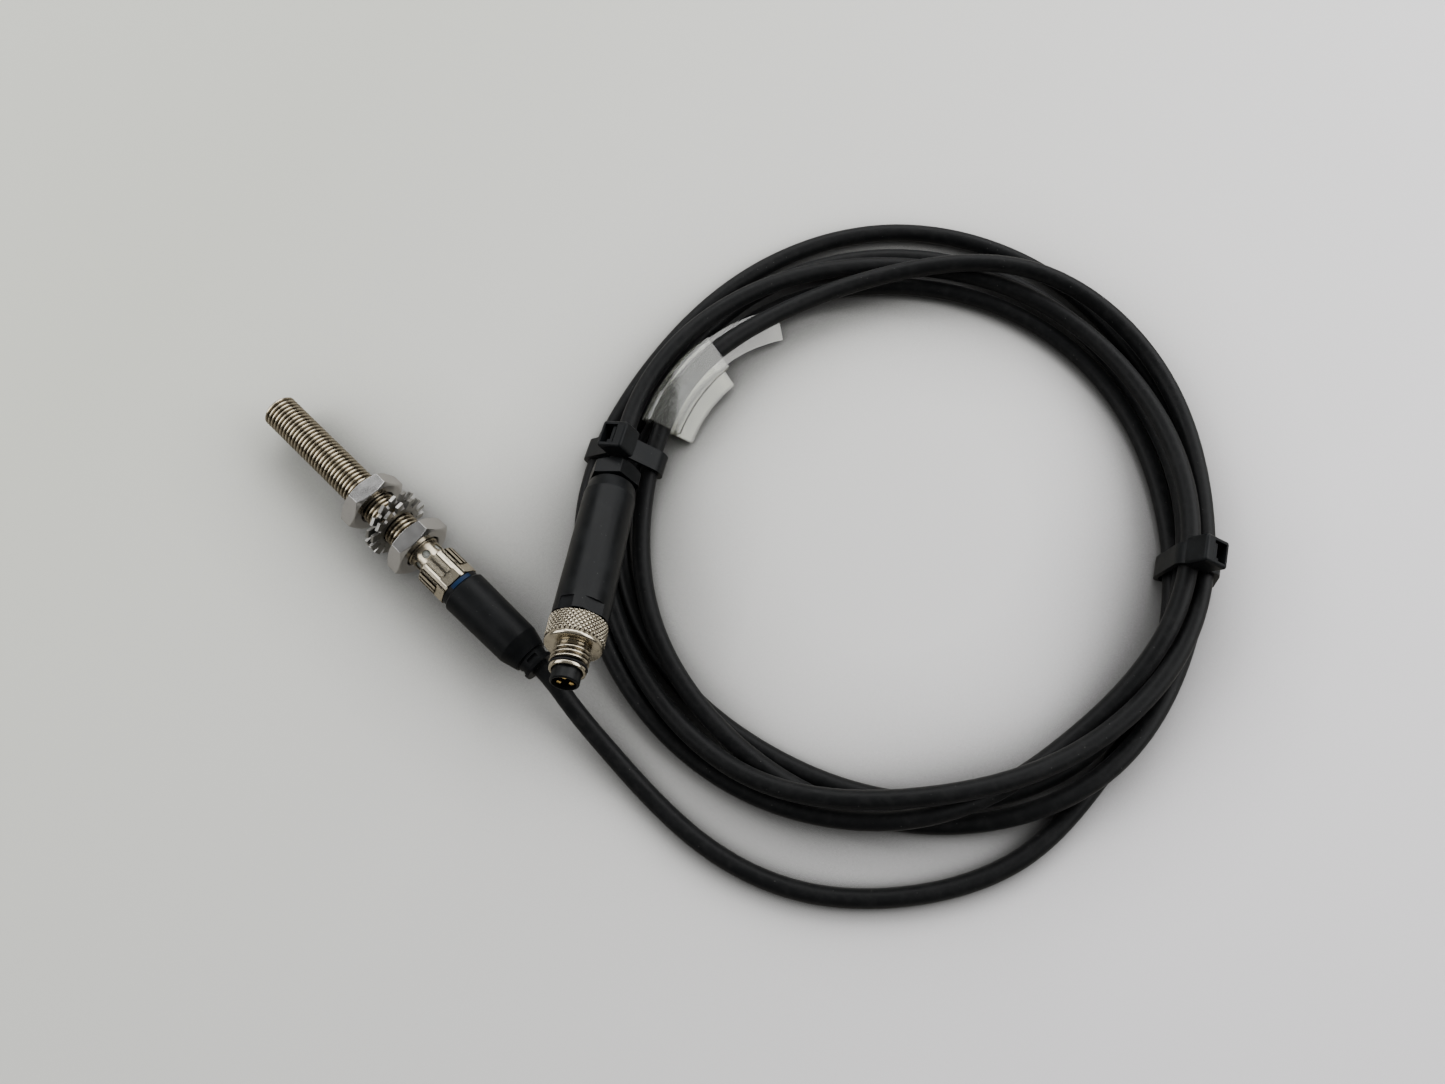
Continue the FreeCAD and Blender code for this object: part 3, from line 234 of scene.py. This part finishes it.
def jacket(name):
    """The cable's matt polyurethane jacket: fine grain, faint scuffs and clinging dust."""
    made = Recipe(name, JACKET_BLACK, 0.47)
    made.set("Specular IOR Level", JACKET_SHINE)
    made.bump(made.noise(0.16, detail=3.0), 0.022, 0.55)
    made.bump(made.noise(1.1, detail=2.0), 0.03, 0.35)
    scuffs = made.noise(2.2, detail=5.0, rough=0.7)
    grey = made.mixed(JACKET_BLACK, JACKET_SCUFFED, made.ranged(scuffs, 0.48, 0.72))
    specks = made.ranged(made.cells(1.7), 0.025, 0.05, 0.40, 0.0)
    made.set("Base Color", made.mixed(grey, JACKET_DUST, specks))
    made.set("Roughness", made.ranged(scuffs, 0.3, 0.7, 0.40, 0.58))
    made.set("Sheen Weight", 0.04)
    made.set("Sheen Roughness", 0.5)
    return made.done()


def soft_clear(name, tint, haze, clearness):
    """Clear flexible plastic: hazy in the middle, with a painted highlight that makes it whiter
    along its edges and folds.
    """
    made = Recipe(name, tint, haze)
    made.set("IOR", CLEAR_IOR)
    edge_highlight = made.edges(0.10)
    # painted highlight: less light passes through near edges, so they show the whiter tint
    made.set("Transmission Weight", made.ranged(edge_highlight, 0.15, 0.50, clearness, 0.60))
    ripple = made.noise(3.5, detail=0.0, stretch=(1, 1, 0.4))
    made.bump(ripple, 0.02, 0.15)
    clouded = made.noise(3.0, detail=3.0)
    made.set("Roughness", made.ranged(clouded, 0.3, 0.7, haze * 0.6, haze * 1.5))
    return made.done()


def insulation(name, colour):
    made = Recipe(name, colour, 0.35)
    made.bump(made.noise(0.3, detail=2.0), 0.01, 0.4)
    streaks = made.noise(0.8, detail=2.0)
    darker = tuple(channel * 0.6 for channel in colour)
    made.set("Base Color", made.mixed(darker, colour, made.ranged(streaks, 0.35, 0.65)))
    return made.done()


def sintered(name, colour, grain=0.06):
    """A granular solid such as ferrite."""
    made = Recipe(name, colour, 0.7)
    grains = made.cells(grain)
    made.bump(grains, 0.01, 0.6)
    lighter = tuple(channel * 2.2 for channel in colour)
    made.set("Base Color", made.mixed(colour, lighter, made.ranged(grains, 0.1, 0.6)))
    return made.done()


def wound_copper(name):
    """Enamelled wire in tight turns round the X axis."""
    made = Recipe(name, (0.55, 0.20, 0.07), 0.25, metallic=0.9)
    turns = made.add("ShaderNodeTexWave", wave_type="BANDS", bands_direction="X")
    made.feed(turns.inputs["Vector"], made.place)
    turns.inputs["Scale"].default_value = 1 / (0.7 * MM)
    made.bump(turns.outputs["Fac"], 0.05, 0.8)
    made.set("Base Color", made.mixed((0.30, 0.09, 0.03), (0.62, 0.25, 0.10), turns.outputs["Fac"]))
    return made.done()


def solder_mask(name):
    """A circuit board: green lacquer over slightly raised tracks."""
    made = Recipe(name, (0.015, 0.12, 0.045), 0.3)
    tracks = made.add("ShaderNodeTexBrick", offset=0.35)
    made.feed(tracks.inputs["Vector"], made.place)
    tracks.inputs["Scale"].default_value = 1 / (2.4 * MM)
    tracks.inputs["Mortar Size"].default_value = 0.03
    lines = tracks.outputs["Fac"]
    made.set("Base Color", made.mixed((0.012, 0.10, 0.04), (0.04, 0.22, 0.08), lines))
    made.bump(lines, 0.03, 0.8)
    return made.done()


def lamp(name):
    made = Recipe(name, (0.95, 0.62, 0.10), 0.15)
    made.set("Transmission Weight", 0.6)
    made.bump(made.noise(0.5), 0.01, 0.3)
    return made.done()


NICKEL = turned_metal("nickel_barrel", (0.46, 0.405, 0.305), (0.045, 0.037, 0.024), 0.24, deep=0.40)
PLATED = turned_metal("nickel_plating", (0.50, 0.45, 0.35), (0.04, 0.032, 0.020), 0.22,
                      groove=0.7, edge=0.05, deep=0.50)
WASHER = turned_metal("washer_steel", (0.31, 0.305, 0.29), (0.06, 0.055, 0.05), 0.36, edge=0.08)
STEEL = bright_steel("bright_steel")
GOLD = turned_metal("gold_contact", (0.85, 0.60, 0.22), (0.35, 0.22, 0.07), 0.22)
GRIP = moulded("grip_polyurethane", (0.0028, 0.0033, 0.0038), 0.46, dust=0.20)
SHELL = moulded("plug_plastic", (0.0025, 0.0030, 0.0035), 0.36, grain=0.14, depth=0.008, dust=0.3)
INSERT = moulded("insert_plastic", (0.0040, 0.0045, 0.0045), 0.34, grain=0.2, depth=0.005)
TIE = moulded("tie_polyamide", (0.0045, 0.0053, 0.0060), 0.42, grain=0.12, depth=0.010, dust=0.15)
RUBBER = moulded("seal_rubber", (0.006, 0.006, 0.006), 0.55)
NATURAL = moulded("cage_polyamide", (0.55, 0.54, 0.48), 0.45)
CHIP = moulded("component_bodies", (0.02, 0.02, 0.022), 0.5, grain=0.05)
CAP = moulded("sensing_face", (0.10, 0.105, 0.11), 0.5, dust=0.2)
LENS = soft_clear("lens_plastic", (0.80, 0.82, 0.76), 0.30, 0.7)
FINISHES = {
    "barrel": NICKEL,
    "sensing_cap": CAP,
    "ferrite_core": sintered("ferrite", (0.03, 0.03, 0.032)),
    "sensing_coil": wound_copper("copper_coil"),
    "circuit_board": solder_mask("solder_mask"),
    "board_components": CHIP,
    "status_leds": lamp("led_amber"),
    "light_ring": LENS,
    "sensor_pin_carrier": INSERT,
    "sensor_pins": GOLD,
    "front_nut": STEEL,
    "rear_nut": STEEL,
    "front_lock_washer": WASHER,
    "rear_lock_washer": WASHER,
    "coupling_nut": PLATED,
    "socket_insert": INSERT,
    "socket_contacts": GOLD,
    "socket_seal": RUBBER,
    "socket_grip": GRIP,
    "blue_marker": moulded("blue_marker", (0.0012, 0.013, 0.042), 0.40, grain=0.12, depth=0.008),
    "cable_jacket": jacket("cable_jacket"),
    "brown_core": insulation("brown_insulation", (0.10, 0.035, 0.015)),
    "blue_core": insulation("blue_insulation", (0.01, 0.06, 0.30)),
    "black_core": insulation("black_insulation", (0.015, 0.015, 0.015)),
    "plug_gland_nut": SHELL,
    "plug_gland_seal": RUBBER,
    "plug_clamp_cage": NATURAL,
    "plug_body": SHELL,
    "plug_o_ring": RUBBER,
    "plug_insert": INSERT,
    "plug_pins": GOLD,
    "terminal_screws": STEEL,
    "cable_tie_left": TIE,
    "cable_tie_right": TIE,
    "label_sleeve": soft_clear("clear_pvc", (0.93, 0.94, 0.88), 0.05, 0.975),
    "label_strip": soft_clear("strip_film", (0.97, 0.975, 0.95), 0.03, 0.99),
}


def dress_frame():
    """Every CAD node gets its finish."""
    for node, finish in FINISHES.items():
        shown = frame["nodes"][node]
        shown.data.materials.clear()
        shown.data.materials.append(finish)


# ---- the knurled thread ring ---------------------------------------------------------------------

# places along the ring's axis and radii, in millimetres
RING_PIVOT = 43.0
SLEEVE_START = 36.4
SLEEVE_RADIUS = 3.85
BORE = 3.15
KNURL_FROM, KNURL_TO = 39.8, 44.6
KNURL_ROOT, KNURL_RISE = 5.75, 0.4
RING_END = 45.8
UNDERCUT = 3.4
THREAD_FROM, THREAD_TO = 46.6, 49.75
THREAD_ROOT, THREAD_RISE = 3.55, 0.45
SEAT_FROM, SEAT_TO, SEAT_RADIUS = 49.8, 50.48, 3.32
TIP = 51.2
KNURL_ROWS = 60
THREAD_ROWS = 72
ROUND_STEPS = 384
KNURL_STARTS = 36
KNURL_DEPTH = 0.34
KNURL_RADIUS = 6.15
THREAD_PITCH = 1.0
THREAD_DEPTH = 0.55


def ring_outline():
    """The ring's outline: (place along the axis, radius, what is cut there), a closed loop."""
    outline = [
        (SLEEVE_START, BORE, None), (SLEEVE_START, SLEEVE_RADIUS, None),
        (KNURL_FROM - 0.1, SLEEVE_RADIUS, None), (KNURL_FROM - 0.05, SLEEVE_RADIUS, None),
        (KNURL_FROM, 3.95, None), (KNURL_FROM, 5.6, None),
    ]
    for index in range(KNURL_ROWS + 1):
        along = KNURL_FROM + 0.1 + (KNURL_TO - KNURL_FROM - 0.1) * index / KNURL_ROWS
        ease = min(1.0, (along - KNURL_FROM) / 0.45, (KNURL_TO + 0.12 - along) / 0.4)
        outline.append((along, KNURL_ROOT + KNURL_RISE * ease, "knurl"))
    # the plain rim behind the knurl, the undercut, and then the thread
    outline += [
        (44.75, 6.04, None), (45.35, 6.04, None), (45.6, 5.96, None), (45.75, 5.78, None),
        (RING_END, 5.55, None), (RING_END, 3.55, None), (45.83, 3.42, None),
        (45.9, UNDERCUT, None), (46.45, UNDERCUT, None), (46.55, 3.45, None),
    ]
    for index in range(THREAD_ROWS + 1):
        along = THREAD_FROM + (THREAD_TO - THREAD_FROM) * index / THREAD_ROWS
        ease = min(1.0, (along - THREAD_FROM) / 0.35, (THREAD_TO - along) / 0.2 + 0.4)
        outline.append((along, THREAD_ROOT + THREAD_RISE * ease, "thread"))
    # the seal's seat and the collar in front of it
    outline += [
        (SEAT_FROM, SEAT_RADIUS, None), (SEAT_TO, SEAT_RADIUS, None), (50.52, 3.84, None),
        (50.6, 3.86, None), (51.1, 3.74, None), (TIP - 0.02, 3.66, None),
        (TIP, 3.25, None), (TIP - 0.02, BORE, None),
    ]
    return outline


def ring_radius(along, radius, cut, angle):
    """The radius with the knurl's or the thread's grooves taken off."""
    if cut == "knurl":
        waves = [
            abs(math.sin((KNURL_STARTS * angle + lean * along * KNURL_STARTS / KNURL_RADIUS) / 2))
            for lean in (-1.0, 1.0)
        ]
        return radius - KNURL_DEPTH * (1 - min(1.0, 1.5 * min(waves)))
    if cut == "thread":
        turn = (along / THREAD_PITCH - angle / math.tau) % 1.0
        flank = min(1.0, abs(turn - 0.5) / 0.4)
        return radius - THREAD_DEPTH * (1 - flank) if radius > 3.6 else radius
    return radius


def lathe(name, outline, place_of):
    """A mesh turned from a closed outline, with radius grooves worked out point by point."""
    points = []
    faces = []
    for along, radius, cut in outline:
        for step in range(ROUND_STEPS):
            angle = math.tau * step / ROUND_STEPS
            points.append(place_of(along, ring_radius(along, radius, cut, angle), angle))
    rows = len(outline)
    for row in range(rows):
        below = row * ROUND_STEPS
        above = (row + 1) % rows * ROUND_STEPS
        for step in range(ROUND_STEPS):
            ahead = (step + 1) % ROUND_STEPS
            faces.append((below + step, below + ahead, above + ahead, above + step))
    mesh = bpy.data.meshes.new(name)
    mesh.from_pydata(points, [], faces)
    mesh.update()
    mesh.shade_smooth()
    made = bpy.data.objects.new(name, mesh)
    bpy.context.scene.collection.objects.link(made)
    return made


def joint(name):
    return next(j for j in frame["record"]["behaviour"]["joints"] if j["name"] == name)


def build_knurled_ring():
    turning = joint("plug_ring_turn")
    axis = Vector(turning["axis"]).normalized()
    origin = Vector(turning["pos_m"]) - axis * RING_PIVOT * MM
    side = Vector((0, 0, 1)).cross(axis).normalized()
    top = axis.cross(side)

    def place_of(along, radius, angle):
        across = side * math.cos(angle) + top * math.sin(angle)
        return origin + axis * along * MM + across * radius * MM

    ring = lathe("knurled_ring", ring_outline(), place_of)
    ring.data.materials.append(PLATED)
    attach(ring, "thread_ring")
    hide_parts("plug_thread_ring")


# ---- the studio ----------------------------------------------------------------------------------

CENTRE = Vector((0.09, 0.06, 0.0))
TABLE_Z = -7.65 * MM
CARD_PAINTED_DIM = (0.63, 0.640, 0.570)
CARD_EVEN = (0.795, 0.780, 0.795)
CARD_BRIGHT = (0.84, 0.825, 0.84)
CARD_SHADED = (0.10, 0.10, 0.097)
CARD_MIRRORED = (0.34, 0.325, 0.29)
SHADE_REACH = 32
BACKDROP = (2.4, 2.4, 2.38, 1)
FLOOR_HALF = 0.55
WORLD_STRENGTH = 0.40
# each softbox: name, bearing, height, distance, width, depth and power
SOFTBOXES = (
    ("right_box", 12, 36, 0.70, 0.80, 0.50, 6.0),
    ("left_box", 170, 34, 0.80, 0.80, 0.50, 5.0),
    ("top_box", 88, 36, 0.80, 1.00, 0.50, 6.4),
)


def build_floor():
    mesh = bpy.data.meshes.new("floor")
    corners = [(CENTRE.x + across * FLOOR_HALF, CENTRE.y + along * FLOOR_HALF, TABLE_Z)
               for across, along in ((-1, -1), (1, -1), (1, 1), (-1, 1))]
    mesh.from_pydata(corners, [], [(0, 1, 2, 3)])
    floor = bpy.data.objects.new("floor", mesh)
    bpy.context.scene.collection.objects.link(floor)
    made = Recipe("pale_card", (0.78, 0.78, 0.77), 0.6)
    clouds = made.noise(70.0, detail=3.0)
    card = made.mixed(CARD_EVEN, CARD_BRIGHT, clouds)
    # painted light falloff: the card is coloured a little yellower and darker towards the picture's
    # lower left, where less light falls
    across = made.add("ShaderNodeVectorMath", operation="DOT_PRODUCT")
    made.feed(across.inputs[0], made.place)
    across.inputs[1].default_value = (0.98, 0.20, 0.0)
    along = made.ranged(across.outputs["Value"], -0.05, 0.22)
    card = made.mixed(CARD_PAINTED_DIM, card, along)
    # and it dims close beside whatever lies on it
    open_air = made.ranged(made.crevice(SHADE_REACH), 0.45, 0.97)
    card = made.mixed(CARD_SHADED, card, open_air)
    mirrored = made.add("ShaderNodeLightPath").outputs["Is Glossy Ray"]
    made.set("Base Color", made.mixed(card, CARD_MIRRORED, mirrored))
    made.bump(made.noise(3.0, detail=3.0), 0.02, 0.2)
    mesh.materials.append(made.done())


def build_world():
    """A soft pale room for plain surfaces, and a darker one for what metal mirrors."""
    world = bpy.data.worlds.new("studio")
    world.use_nodes = True
    bpy.context.scene.world = world
    tree = world.node_tree
    direction = tree.nodes.new("ShaderNodeTexCoord").outputs["Generated"]

    def dot_with(target):
        node = tree.nodes.new("ShaderNodeVectorMath")
        node.operation = "DOT_PRODUCT"
        tree.links.new(direction, node.inputs[0])
        node.inputs[1].default_value = target
        return node.outputs["Value"]

    def ramp(value, *stops):
        node = tree.nodes.new("ShaderNodeValToRGB")
        tree.links.new(value, node.inputs["Fac"])
        elements = node.color_ramp.elements
        while len(elements) < len(stops):
            elements.new(0.5)
        for element, (position, level) in zip(elements, stops):
            element.position = position
            element.color = (level, level, level * 0.99, 1)
        return node.outputs["Color"]

    path = tree.nodes.new("ShaderNodeLightPath")
    height = dot_with((0, 0, 1))
    room = ramp(height, (0.0, 0.45), (0.4, 0.40), (1.0, 0.30))
    mirrored = ramp(height, (0.0, 0.04), (0.25, 0.10), (0.70, 0.35), (0.97, 0.75))
    backdrop = tree.nodes.new("ShaderNodeRGB")
    backdrop.outputs["Color"].default_value = BACKDROP
    colour = room
    for ray, seen in (("Is Glossy Ray", mirrored), ("Is Camera Ray", backdrop.outputs["Color"])):
        mix = tree.nodes.new("ShaderNodeMix")
        mix.data_type = "RGBA"
        tree.links.new(path.outputs[ray], mix.inputs["Factor"])
        tree.links.new(colour, mix.inputs[6])
        tree.links.new(seen, mix.inputs[7])
        colour = mix.outputs[2]
    background = tree.nodes["Background"]
    tree.links.new(colour, background.inputs["Color"])
    background.inputs["Strength"].default_value = WORLD_STRENGTH


def build_light(name, bearing, height, distance, width, depth, power):
    """A softbox on a bearing from the picture's right, counted towards its top, in degrees."""
    picture_up = Vector((-IMAGE_RIGHT.y, IMAGE_RIGHT.x, 0))
    turn = math.radians(bearing)
    lift = math.radians(height)
    flat = IMAGE_RIGHT * math.cos(turn) + picture_up * math.sin(turn)
    toward = flat * math.cos(lift) + Vector((0, 0, math.sin(lift)))
    data = bpy.data.lights.new(name, "AREA")
    data.shape = "RECTANGLE"
    data.size = width
    data.size_y = depth
    data.energy = power
    light = bpy.data.objects.new(name, data)
    light.location = CENTRE + toward * distance
    light.rotation_mode = "QUATERNION"
    light.rotation_quaternion = (-toward).to_track_quat("-Z", "Y")
    bpy.context.scene.collection.objects.link(light)


dress_frame()
build_knurled_ring()
build_camera()
build_floor()
build_world()
for softbox in SOFTBOXES:
    build_light(*softbox)
